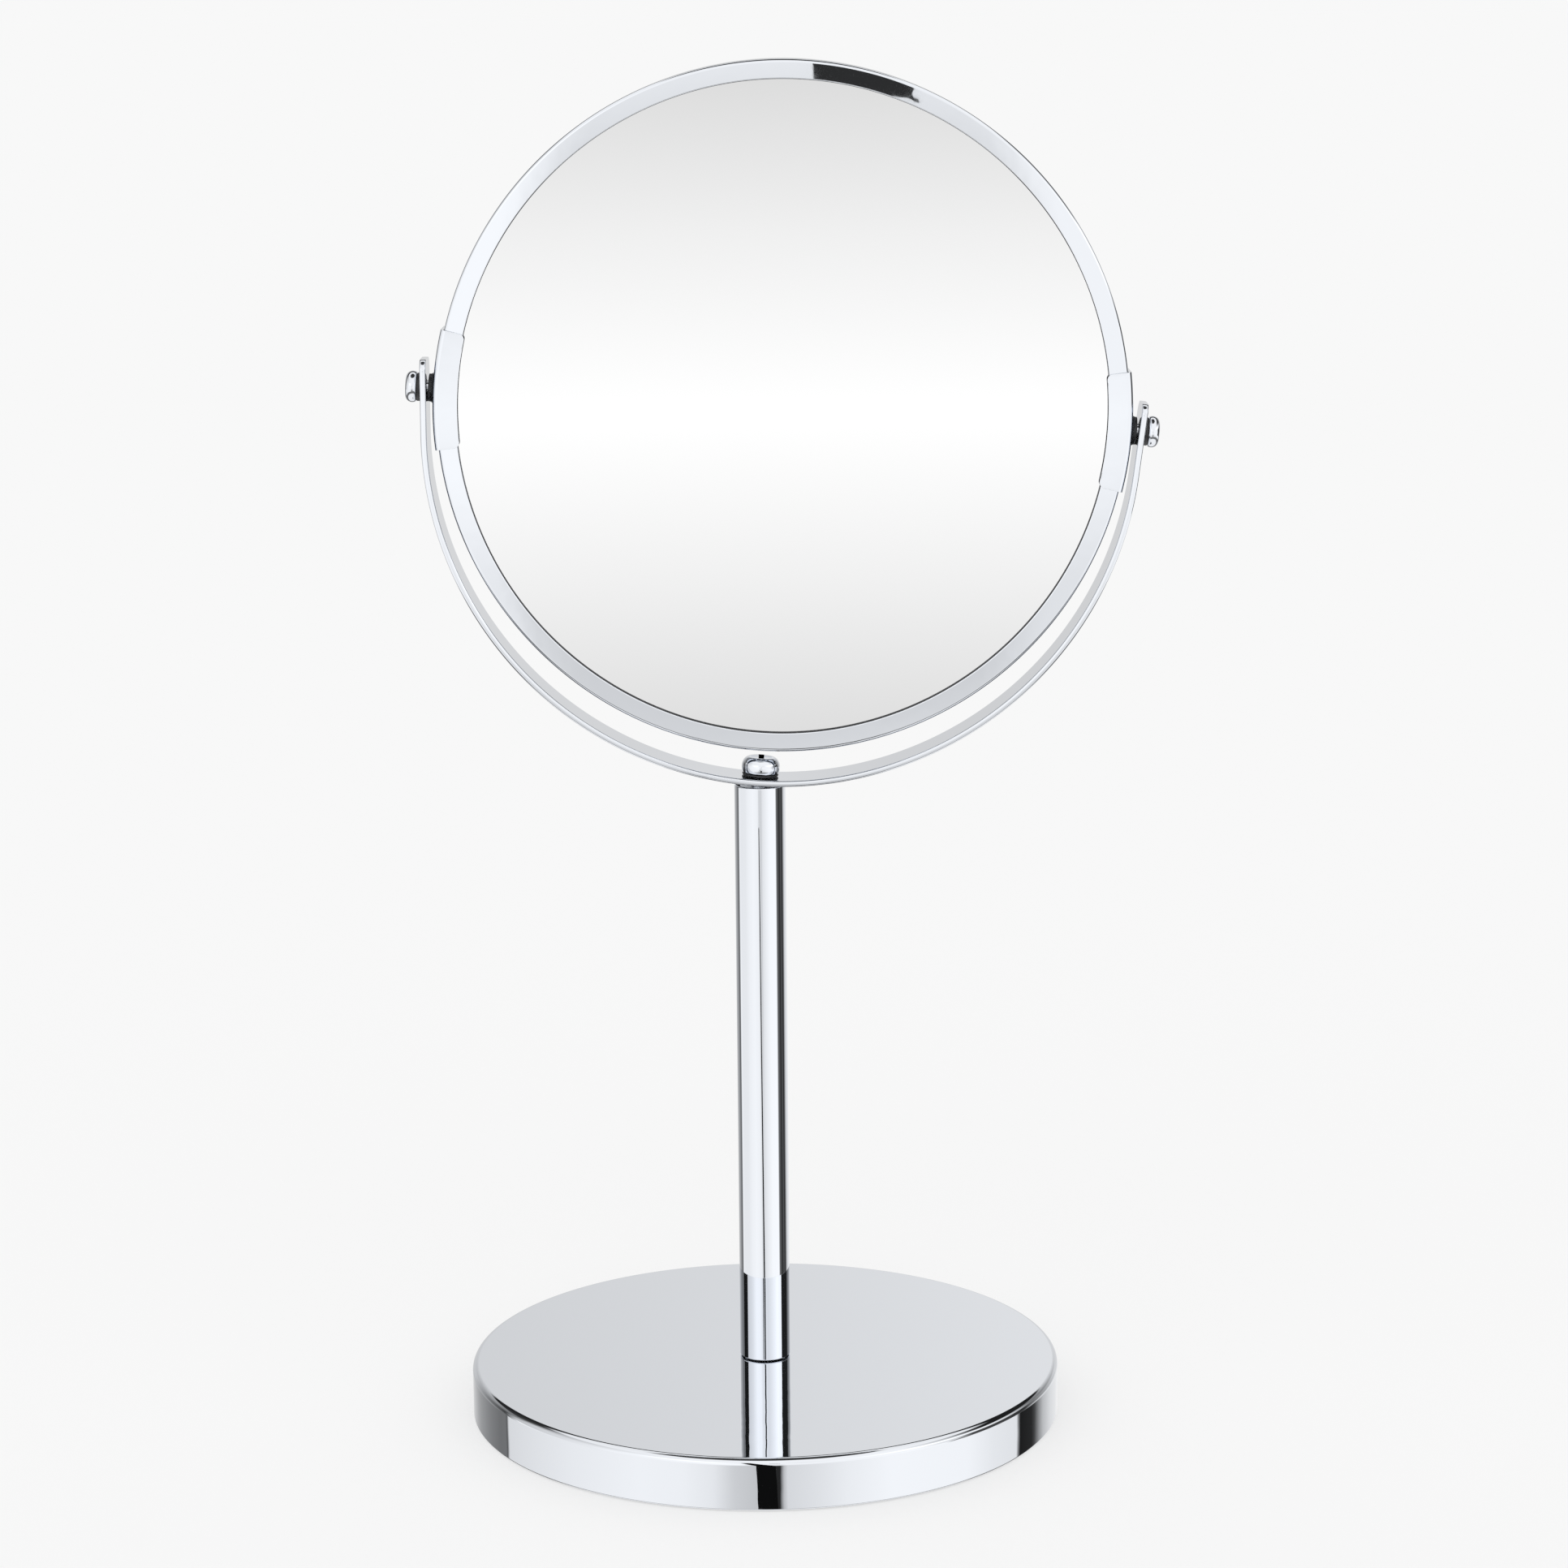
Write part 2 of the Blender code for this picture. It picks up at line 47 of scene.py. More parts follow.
def linearChannel(value):
    return value / 12.92 if value <= 0.04045 else ((value + 0.055) / 1.055) ** 2.4


def linearColour(hexText):
    # sRGB hex to the linear values that shaders take
    channels = [int(hexText[k:k + 2], 16) / 255 for k in (0, 2, 4)]
    return (*[linearChannel(c) for c in channels], 1.0)


def addNode(tree, kind, inputs=None, **settings):
    # one node with its settings; an input is a value or another node's output
    node = tree.nodes.new(kind)
    for setting, value in settings.items():
        setattr(node, setting, value)
    for socket, value in (inputs or {}).items():
        if isinstance(value, bpy.types.NodeSocket):
            tree.links.new(value, node.inputs[socket])
        else:
            node.inputs[socket].default_value = value
    return node


def setStops(ramp, stops):
    # stops are (position from 0 to 1, linear colour)
    while len(ramp.elements) > 1:
        ramp.elements.remove(ramp.elements[-1])
    ramp.elements[0].position, ramp.elements[0].color = stops[0]
    for position, colour in stops[1:]:
        ramp.elements.new(position).color = colour


def startMaterial(name):
    material = bpy.data.materials.new(name)
    material.use_nodes = True
    tree = material.node_tree
    shader = tree.nodes["Principled BSDF"]
    return material, tree, shader


# where things are, from the frame
joints = {joint["name"]: joint for joint in frame["joints"]}
yokeOrigin = Vector(joints["yoke_swivel"]["pos_m"])
headOrigin = Vector(joints["mirror_tilt"]["pos_m"])
leanAxis = (headOrigin - yokeOrigin).normalized()
acrossAxis = Vector((0, 1, 0)).cross(leanAxis)


def framePlace(origin):
    # axes of the leaning yoke and head: X along the pivots, Y to the back, Z up the lean
    axes = Matrix((acrossAxis, (0, 1, 0), leanAxis)).transposed()
    return Matrix.Translation(origin) @ axes.to_4x4()


standPlace = Matrix.Identity(4)
yokePlace = framePlace(yokeOrigin)
headPlace = framePlace(headOrigin)
facePlace = headPlace @ Matrix.Rotation(-math.pi / 2, 4, "X")  # turning axis from front to back
sides = ((-1, "left", "Left"), (1, "right", "Right"))
pivotPlace = {
    side: headPlace @ Matrix.Rotation(side * math.pi / 2, 4, "Y") for side in (-1, 1)
}


def measure(node, place):
    # radius about the place's Z axis, then lowest and highest Z, of a CAD node
    inverse = place.inverted()
    points = [inverse @ vertex.co for vertex in frame["nodes"][node].data.vertices]
    radius = max(math.hypot(point.x, point.y) for point in points)
    heights = [point.z for point in points]
    return radius, min(heights), max(heights)


# steps in a full turn, for each size of round piece
turns = {"large": 384, "disc": 256, "tube": 192, "small": 96, "bore": 64, "clipBore": 48}


def arcPoints(centre, radius, first, last, steps=10):
    angles = [math.radians(first + (last - first) * k / steps) for k in range(steps + 1)]
    return [(centre[0] + radius * math.cos(a), centre[1] + radius * math.sin(a)) for a in angles]


def roundedRing(inner, outer, bottom, top, outerRound, innerRound):
    # cross-section of a ring with all four corners rounded
    o, i = outerRound, innerRound
    return [
        *arcPoints((outer - o, bottom + o), o, -90, 0),
        *arcPoints((outer - o, top - o), o, 0, 90),
        *arcPoints((inner + i, top - i), i, 90, 180),
        *arcPoints((inner + i, bottom + i), i, 180, 270),
    ]


def turnedShape(outline, steps):
    # spins (radius, height) points about Z
    shape = bmesh.new()
    points = [shape.verts.new((radius, 0, height)) for radius, height in outline]
    pairs = list(zip(points, points[1:]))
    if outline[0][0] > 0 or outline[-1][0] > 0:
        pairs.append((points[-1], points[0]))
    edges = [shape.edges.new(pair) for pair in pairs]
    bmesh.ops.spin(
        shape, geom=points + edges, cent=(0, 0, 0), axis=(0, 0, 1),
        angle=math.tau, steps=steps, use_merge=True,
    )
    return shape


def meshObject(name, shape, place):
    bmesh.ops.remove_doubles(shape, verts=shape.verts, dist=0.001 * mm)
    bmesh.ops.recalc_face_normals(shape, faces=shape.faces)
    mesh = bpy.data.meshes.new(name)
    shape.to_mesh(mesh)
    shape.free()
    item = bpy.data.objects.new(name, mesh)
    scene.collection.objects.link(item)
    item.matrix_world = place
    return item


def cutAway(piece, cutters):
    # takes the cutters out of the piece for good
    for cutter in cutters:
        modifier = piece.modifiers.new(cutter.name, "BOOLEAN")
        modifier.operation = "DIFFERENCE"
        modifier.solver = "EXACT"
        modifier.object = cutter
    bpy.context.view_layer.update()
    evaluated = piece.evaluated_get(bpy.context.evaluated_depsgraph_get())
    piece.data = bpy.data.meshes.new_from_object(evaluated)
    piece.modifiers.clear()
    for cutter in cutters:
        bpy.data.objects.remove(cutter, do_unlink=True)


def boreCutter(name, radius, low, high, place, steps):
    outline = [(0, low), (radius, low), (radius, high), (0, high)]
    return meshObject(name, turnedShape(outline, steps), place)


def finishPiece(piece, body, material, nodes, sharpAngle=35, bevel=0.0, paintedShadeInside=0.0):
    # smooth shading that keeps flats flat, then what the frame has to know
    piece.data.materials.clear()
    piece.data.materials.append(material)
    if paintedShadeInside:
        # edges and hidden bores inside this radius get painted shade: a dark steel finish in place
        # of their shadow
        piece.data.materials.append(paintedShadeSteel)
        for face in piece.data.polygons:
            if math.hypot(face.center.x, face.center.y) < paintedShadeInside:
                face.material_index = 1
    piece.data.transform(piece.matrix_world)
    piece.matrix_world = Matrix.Identity(4)
    piece.data.shade_smooth()
    piece.data.set_sharp_from_angle(angle=math.radians(sharpAngle))
    if bevel:
        edge = piece.modifiers.new("arris", "BEVEL")
        edge.width = bevel
        edge.segments = 3
        edge.limit_method = "ANGLE"
        edge.angle_limit = math.radians(sharpAngle)
        edge.harden_normals = True
    normals = piece.modifiers.new("flat faces", "WEIGHTED_NORMAL")
    normals.keep_sharp = not bevel
    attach(piece, body)
    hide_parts(*nodes)
    return piece


chromeLook = {
    "colour": "E8EBF0",  # a real plate is near C4C6C8; matched lighter, and a little blue
    "roughness": 0.012,
    "roughnessSpread": 0.014,
}
polishLineSpacing = 0.35 * mm  # buffing lines are finer; drawn this coarse so that they show


def makeChrome(name, stretch, waveSize, waviness):
    # decorative chrome over polished steel: a mirror with the faint lines of its last buffing,
    # which gives the eye crisp reflections that soften very slightly along the line of work
    material, tree, shader = startMaterial(name)
    shader.inputs["Base Color"].default_value = linearColour(chromeLook["colour"])
    shader.inputs["Metallic"].default_value = 1.0
    spot = addNode(tree, "ShaderNodeTexCoord")
    lined = addNode(tree, "ShaderNodeMapping", {0: spot.outputs["Object"], "Scale": stretch})
    lines = addNode(tree, "ShaderNodeTexNoise", {
        "Vector": lined.outputs[0], "Scale": 1 / polishLineSpacing, "Detail": 2.0, "Roughness": 0.6,
    })
    low = chromeLook["roughness"]
    gloss = addNode(tree, "ShaderNodeMapRange", {
        "Value": lines.outputs["Fac"], "From Min": 0.3, "From Max": 0.7,
        "To Min": low, "To Max": low + chromeLook["roughnessSpread"],
    })
    tree.links.new(gloss.outputs[0], shader.inputs["Roughness"])
    waves = addNode(tree, "ShaderNodeTexNoise", {
        "Vector": spot.outputs["Object"], "Scale": 1 / waveSize, "Detail": 1.0,
    })
    bump = addNode(tree, "ShaderNodeBump", {
        "Height": waves.outputs["Fac"], "Strength": waviness, "Distance": 0.2 * mm,
    })
    tree.links.new(bump.outputs[0], shader.inputs["Normal"])
    return material


def makeSilveredGlass():
    # float glass silvered behind: a neutral mirror under a clear hard surface,
    # with a film of handling so thin that it only lifts the gloss in places
    material, tree, shader = startMaterial("silveredFloatGlass")
    shader.inputs["Base Color"].default_value = linearColour("F4F4F4")
    shader.inputs["Metallic"].default_value = 1.0
    spot = addNode(tree, "ShaderNodeTexCoord")
    film = addNode(tree, "ShaderNodeTexNoise", {
        "Vector": spot.outputs["Object"], "Scale": 1 / (26 * mm), "Detail": 3.0, "Roughness": 0.55,
    })
    gloss = addNode(tree, "ShaderNodeMapRange", {
        "Value": film.outputs["Fac"], "From Min": 0.45, "From Max": 0.75,
        "To Min": 0.0, "To Max": 0.012,
    })
    tree.links.new(gloss.outputs[0], shader.inputs["Roughness"])
    return material


def makeBlackNylon():
    # moulded nylon 66 from a spark-eroded tool: dense black, satin, with a fine even grain
    material, tree, shader = startMaterial("blackMouldedNylon")
    shader.inputs["IOR"].default_value = 1.53
    spot = addNode(tree, "ShaderNodeTexCoord")
    grain = addNode(tree, "ShaderNodeTexNoise", {
        "Vector": spot.outputs["Object"], "Scale": 1 / (0.12 * mm), "Detail": 2.0,
    })
    tone = addNode(tree, "ShaderNodeValToRGB", {"Fac": grain.outputs["Fac"]})
    setStops(tone.color_ramp, [(0.35, linearColour("161618")), (0.7, linearColour("242427"))])
    tree.links.new(tone.outputs["Color"], shader.inputs["Base Color"])
    gloss = addNode(tree, "ShaderNodeMapRange", {
        "Value": grain.outputs["Fac"], "To Min": 0.34, "To Max": 0.5,
    })
    tree.links.new(gloss.outputs[0], shader.inputs["Roughness"])
    bump = addNode(tree, "ShaderNodeBump", {
        "Height": grain.outputs["Fac"], "Strength": 0.3, "Distance": 0.02 * mm,
    })
    tree.links.new(bump.outputs[0], shader.inputs["Normal"])
    return material


def makeFoamRubber():
    # closed-cell EVA sheet: matt charcoal with the skin of small cells, which grips a shelf
    material, tree, shader = startMaterial("closedCellFoam")
    shader.inputs["Specular IOR Level"].default_value = 0.25
    spot = addNode(tree, "ShaderNodeTexCoord")
    cells = addNode(tree, "ShaderNodeTexVoronoi", {
        "Vector": spot.outputs["Object"], "Scale": 1 / (0.7 * mm),
    })
    patches = addNode(tree, "ShaderNodeTexNoise", {
        "Vector": spot.outputs["Object"], "Scale": 1 / (12 * mm), "Detail": 3.0,
    })
    tone = addNode(tree, "ShaderNodeValToRGB", {"Fac": patches.outputs["Fac"]})
    setStops(tone.color_ramp, [(0.3, linearColour("1C1C1D")), (0.7, linearColour("2A2A2B"))])
    tree.links.new(tone.outputs["Color"], shader.inputs["Base Color"])
    gloss = addNode(tree, "ShaderNodeMapRange", {
        "Value": cells.outputs["Distance"], "To Min": 0.92, "To Max": 0.78,
    })
    tree.links.new(gloss.outputs[0], shader.inputs["Roughness"])
    bump = addNode(tree, "ShaderNodeBump", {
        "Height": cells.outputs["Distance"], "Strength": 0.5, "Distance": 0.15 * mm,
    })
    tree.links.new(bump.outputs[0], shader.inputs["Normal"])
    return material


def makeCastIron():
    # grey iron left as cast: dull, dark, with the grit of its sand mould
    material, tree, shader = startMaterial("sandCastIron")
    shader.inputs["Metallic"].default_value = 1.0
    spot = addNode(tree, "ShaderNodeTexCoord")
    grit = addNode(tree, "ShaderNodeTexNoise", {
        "Vector": spot.outputs["Object"], "Scale": 1 / (0.6 * mm), "Detail": 4.0, "Roughness": 0.65,
    })
    tone = addNode(tree, "ShaderNodeValToRGB", {"Fac": grit.outputs["Fac"]})
    setStops(tone.color_ramp, [(0.3, linearColour("4A4A4C")), (0.7, linearColour("6C6C6E"))])
    tree.links.new(tone.outputs["Color"], shader.inputs["Base Color"])
    shader.inputs["Roughness"].default_value = 0.72
    bump = addNode(tree, "ShaderNodeBump", {
        "Height": grit.outputs["Fac"], "Strength": 0.6, "Distance": 0.15 * mm,
    })
    tree.links.new(bump.outputs[0], shader.inputs["Normal"])
    return material


def makeZincSteel():
    # bright zinc plate on turned steel: silver with a cool bloom that varies over the surface
    material, tree, shader = startMaterial("brightZincSteel")
    shader.inputs["Metallic"].default_value = 1.0
    spot = addNode(tree, "ShaderNodeTexCoord")
    bloom = addNode(tree, "ShaderNodeTexNoise", {
        "Vector": spot.outputs["Object"], "Scale": 1 / (1.8 * mm), "Detail": 3.0,
    })
    tone = addNode(tree, "ShaderNodeValToRGB", {"Fac": bloom.outputs["Fac"]})
    setStops(tone.color_ramp, [(0.3, linearColour("B9BEC6")), (0.7, linearColour("D3D6DA"))])
    tree.links.new(tone.outputs["Color"], shader.inputs["Base Color"])
    gloss = addNode(tree, "ShaderNodeMapRange", {
        "Value": bloom.outputs["Fac"], "To Min": 0.2, "To Max": 0.38,
    })
    tree.links.new(gloss.outputs[0], shader.inputs["Roughness"])
    return material


def makePaintedShadeSteel():
    # painted shade for edges and bores in shadow: dark steel, with streaks of darker and lighter
    # tone
    material, tree, shader = startMaterial("steelPaintedShade")
    shader.inputs["Metallic"].default_value = 1.0
    spot = addNode(tree, "ShaderNodeTexCoord")
    shadeStreaks = addNode(tree, "ShaderNodeTexNoise", {
        "Vector": spot.outputs["Object"], "Scale": 1 / (0.5 * mm), "Detail": 3.0,
    })
    tone = addNode(tree, "ShaderNodeValToRGB", {"Fac": shadeStreaks.outputs["Fac"]})
    setStops(tone.color_ramp, [(0.3, linearColour("2E2F31")), (0.7, linearColour("5A5B5E"))])
    tree.links.new(tone.outputs["Color"], shader.inputs["Base Color"])
    shader.inputs["Roughness"].default_value = 0.5
    return material


def makeGreyCard():
    # pressed grey board: matt, with fibres and specks of recycled pulp
    material, tree, shader = startMaterial("greyPressedBoard")
    spot = addNode(tree, "ShaderNodeTexCoord")
    pulp = addNode(tree, "ShaderNodeTexNoise", {
        "Vector": spot.outputs["Object"], "Scale": 1 / (0.9 * mm), "Detail": 5.0, "Roughness": 0.7,
    })
    tone = addNode(tree, "ShaderNodeValToRGB", {"Fac": pulp.outputs["Fac"]})
    setStops(tone.color_ramp, [(0.35, linearColour("8A8680")), (0.65, linearColour("A6A29A"))])
    tree.links.new(tone.outputs["Color"], shader.inputs["Base Color"])
    shader.inputs["Roughness"].default_value = 0.88
    return material


pressedChrome = makeChrome("chromedPressedSteel", (1, 1, 1), 7 * mm, 0.07)
tubeChrome = makeChrome("chromedDrawnTube", (1, 1, 0.04), 6 * mm, 0.03)
stripChrome = makeChrome("chromedSpringStrip", (0.3, 1, 0.3), 6 * mm, 0.05)
rimChrome = makeChrome("chromedRolledRim", (0.3, 1, 0.3), 5 * mm, 0.05)
screwChrome = makeChrome("chromedScrew", (1, 1, 1), 1.2 * mm, 0.12)
silveredGlass = makeSilveredGlass()
blackNylon = makeBlackNylon()
foamRubber = makeFoamRubber()
castIron = makeCastIron()
zincSteel = makeZincSteel()
greyCard = makeGreyCard()
# dark steel that paints shade onto edges and bores
paintedShadeSteel = makePaintedShadeSteel()
print("materials made:", len(bpy.data.materials))


baseCover = {
    "wall": 1.0 * mm,
    "edgeRound": 1.6 * mm,
    "bottomRound": 0.4 * mm,
    "screwHole": 3.2 * mm,
    "edgeSteps": 16,
    "bottomSteps": 6,
    "innerSteps": 8,
    "topBreak": 0.5,  # where the flat top has a ring of points, over its radius
}


def buildBaseCover():
    radius, bottom, top = measure("base_cover", standPlace)
    wall, edge, lip = baseCover["wall"], baseCover["edgeRound"], baseCover["bottomRound"]
    hole = baseCover["screwHole"]
    innerEdge = edge - wall
    inside = (radius - wall - innerEdge, top - wall - innerEdge)
    edgeSteps, bottomSteps = baseCover["edgeSteps"], baseCover["bottomSteps"]
    outline = [
        (hole, top),
        (radius * baseCover["topBreak"], top),
        *reversed(arcPoints((radius - edge, top - edge), edge, 0, 90, edgeSteps)),
        *reversed(arcPoints((radius - lip, bottom + lip), lip, -90, 0, bottomSteps)),
        (radius - wall, bottom),
        *arcPoints(inside, innerEdge, 0, 90, baseCover["innerSteps"]),
        (hole, top - wall),
    ]
    cover = meshObject("baseCover", turnedShape(outline, turns["large"]), standPlace)
    finishPiece(cover, "stand", pressedChrome, ["base_cover"])


basePad = {
    "edgeRound": 0.5 * mm,
    "edgeSteps": 6,
    "ribs": 5,
    "ribDepth": 0.25 * mm,
    "ribSteps": 24,
    "ribFade": 8,  # how fast the ribs grow from the middle
}


def buildBasePad():
    # a disc of foam with a few shallow rings pressed into its underside
    radius, bottom, top = measure("base_pad", standPlace)
    edge, depth, ribs = basePad["edgeRound"], basePad["ribDepth"], basePad["ribs"]
    under = []
    rings = ribs * basePad["ribSteps"]
    for k in range(rings + 1):
        share = k / rings
        wave = 0.5 - 0.5 * math.cos(math.tau * share * ribs)
        press = depth * wave * min(1, share * basePad["ribFade"])
        under.append(((radius - 2 * edge) * share, bottom + press))
    outline = [
        *under,
        *arcPoints((radius - edge, bottom + edge), edge, -90, 0, basePad["edgeSteps"]),
        *arcPoints((radius - edge, top - edge), edge, 0, 90, basePad["edgeSteps"]),
        (0, top),
    ]
    pad = meshObject("basePad", turnedShape(outline, turns["tube"]), standPlace)
    finishPiece(pad, "stand", foamRubber, ["base_pad"])


postTube = {"wall": 0.8 * mm, "endRound": 0.3 * mm, "innerRound": 0.15 * mm}


def buildPostTube():
    radius, bottom, top = measure("post_tube", standPlace)
    outline = roundedRing(
        radius - postTube["wall"], radius, bottom, top, postTube["endRound"], postTube["innerRound"]
    )
    tube = meshObject("postTube", turnedShape(outline, turns["tube"]), standPlace)
    # painted shade: the tube's bore and the inner part of its top end get the dark steel finish,
    # for the shadow under the yoke
    inside = radius - postTube["endRound"]
    finishPiece(tube, "stand", tubeChrome, ["post_tube"], paintedShadeInside=inside)


panHead = {
    "footShare": 0.9,  # radius under the head over its widest
    "crownShare": 0.6,  # where the dome turns nearly flat
    "waistShare": 0.38,  # height of the widest part over the head's
    "crownDrop": 0.04,
    "recessSpan": 0.62,  # cross recess over the head's diameter
    "recessSlot": 0.15,
    "recessDepth": 0.5,  # over the head's height
    "recessTaper": 0.45,
    "recessMouth": 1.15,  # width above the head over the width at its top
    "recessAbove": 0.3,
    "recessFloor": 0.8,
    "tipShare": 0.7,
    "tipRise": 0.4,
    "footRelief": 0.1 * mm,
    "footRise": 0.08 * mm,
    "footSteps": 8,
    "domeSteps": 16,
    "flatShare": 0.6,  # where the crown is all but flat
    "flatDrop": 0.01,
}


def crossCutter(headRadius, headHeight, headTop, place):
    # a tapered cross driver, standing in the head
    reach = headRadius * panHead["recessSpan"]
    half = headRadius * panHead["recessSlot"]
    depth = headHeight * panHead["recessDepth"]
    shape = bmesh.new()
    rings = []
    levels = (
        (headTop + panHead["recessAbove"] * depth, panHead["recessMouth"]),
        (headTop - depth * panHead["recessFloor"], panHead["recessTaper"]),
    )
    for height, scale in levels:
        corner = half * (0.5 + 0.5 * scale)
        quarter = [(reach * scale, -corner), (reach * scale, corner), (corner, corner)]
        points = []
        for turn in range(4):
            spin = Matrix.Rotation(turn * math.pi / 2, 2)
            points += [spin @ Vector(point) for point in quarter]
        rings.append([shape.verts.new((*point, height)) for point in points])
    tip = shape.verts.new((0, 0, headTop - depth))
    count = len(rings[0])
    shape.faces.new(rings[0])
    for k in range(count):
        after = (k + 1) % count
        shape.faces.new((rings[0][k], rings[0][after], rings[1][after], rings[1][k]))
        shape.faces.new((rings[1][k], rings[1][after], tip))
    return meshObject("crossCutter", shape, place)


def panScrew(name, shankRadius, headRadius, headHeight, tip, top, place):
    underHead = top - headHeight
    waist = underHead + headHeight * panHead["waistShare"]
    crown = headRadius * panHead["crownShare"]
    foot = headRadius * panHead["footShare"]
    outline = [
        (0, tip),
        (shankRadius * panHead["tipShare"], tip),
        (shankRadius, tip + panHead["tipRise"] * shankRadius),
        (shankRadius, underHead),
        (foot - panHead["footRelief"], underHead),
    ]
    footSteps, domeSteps = panHead["footSteps"], panHead["domeSteps"]
    for k in range(footSteps + 1):
        turn = math.radians(90 * k / footSteps)
        outline.append((
            foot + (headRadius - foot) * math.sin(turn),
            underHead + panHead["footRise"] + (waist - underHead) * (1 - math.cos(turn)),
        ))
    for k in range(1, domeSteps + 1):
        turn = math.radians(90 * k / domeSteps)
        outline.append((
            crown + (headRadius - crown) * math.cos(turn),
            waist + (top - waist) * (1 - panHead["crownDrop"]) * math.sin(turn),
        ))
    flat = top - (top - waist) * panHead["flatDrop"]
    outline += [(crown * panHead["flatShare"], flat), (0, top)]
    screw = meshObject(name, turnedShape(outline, turns["small"]), place)
    cutAway(screw, [crossCutter(headRadius, headHeight, top, place)])
    return screw


yokeScrew = {"shank": 2.0 * mm, "headHeight": 4.1 * mm}
pivotScrew = {"shank": 1.5 * mm, "headHeight": 2.8 * mm}
softRing = {
    "edge": 0.12 * mm,
    "pivotBore": 1.8 * mm,
    "yokeBore": 2.3 * mm,
    "spacerFlare": 0.35 * mm,
    "flareShare": 0.35,  # of the flare left, and of the height, at its waist
    "neckShare": 0.6,
}


def buildYokeScrew():
    radius, tip, top = measure("yoke_screw", yokePlace)
    shank, headHeight = yokeScrew["shank"], yokeScrew["headHeight"]
    screw = panScrew("yokeScrew", shank, radius, headHeight, tip, top, yokePlace)
    finishPiece(screw, "yoke", screwChrome, ["yoke_screw"])
    radius, bottom, top = measure("yoke_washer", yokePlace)
    edge = softRing["edge"]
    ring = roundedRing(softRing["yokeBore"], radius, bottom, top, 2 * edge, edge)
    washer = meshObject("yokeWasher", turnedShape(ring, turns["small"]), yokePlace)
    finishPiece(washer, "yoke", blackNylon, ["yoke_washer"])


def buildPivots():
    edge, bore = softRing["edge"], softRing["pivotBore"]
    shank, headHeight = pivotScrew["shank"], pivotScrew["headHeight"]
    for side, label, title in sides:
        place = pivotPlace[side]
        radius, tip, top = measure(f"pivot_screw_{label}", place)
        screw = panScrew(f"pivotScrew{title}", shank, radius, headHeight, tip, top, place)
        finishPiece(screw, "head", screwChrome, [f"pivot_screw_{label}"])

        radius, bottom, top = measure(f"outer_washer_{label}", place)
        ring = roundedRing(bore, radius, bottom, top, edge, edge)
        washer = meshObject(f"outerWasher{title}", turnedShape(ring, turns["small"]), place)
        finishPiece(washer, "yoke", blackNylon, [f"outer_washer_{label}"])

        radius, bottom, top = measure(f"inner_spacer_{label}", place)
        flare, waist = softRing["spacerFlare"], softRing["flareShare"]
        ring = [
            *arcPoints((radius + flare - edge, bottom + edge), edge, -90, 0),
            (radius + flare * waist, bottom + waist * (top - bottom)),
            (radius, bottom + softRing["neckShare"] * (top - bottom)),
            *arcPoints((radius - edge, top - edge), edge, 0, 90),
            (bore, top),
            (bore, bottom),
        ]
        spacer = meshObject(f"innerSpacer{title}", turnedShape(ring, turns["small"]), place)
        finishPiece(spacer, "head", blackNylon, [f"inner_spacer_{label}"])


yokeStrip = {
    "thickness": 1.5 * mm,
    "endSpread": math.radians(3.6),
    "cornerRound": 2.8 * mm,
    "edgeRound": 0.5 * mm,
    "bendSteps": 90,
    "cornerSteps": 12,
    "edgeSteps": 5,
    "straightSteps": 4,
    "boreReach": 6 * mm,  # how far a cutter stands past the strip
}


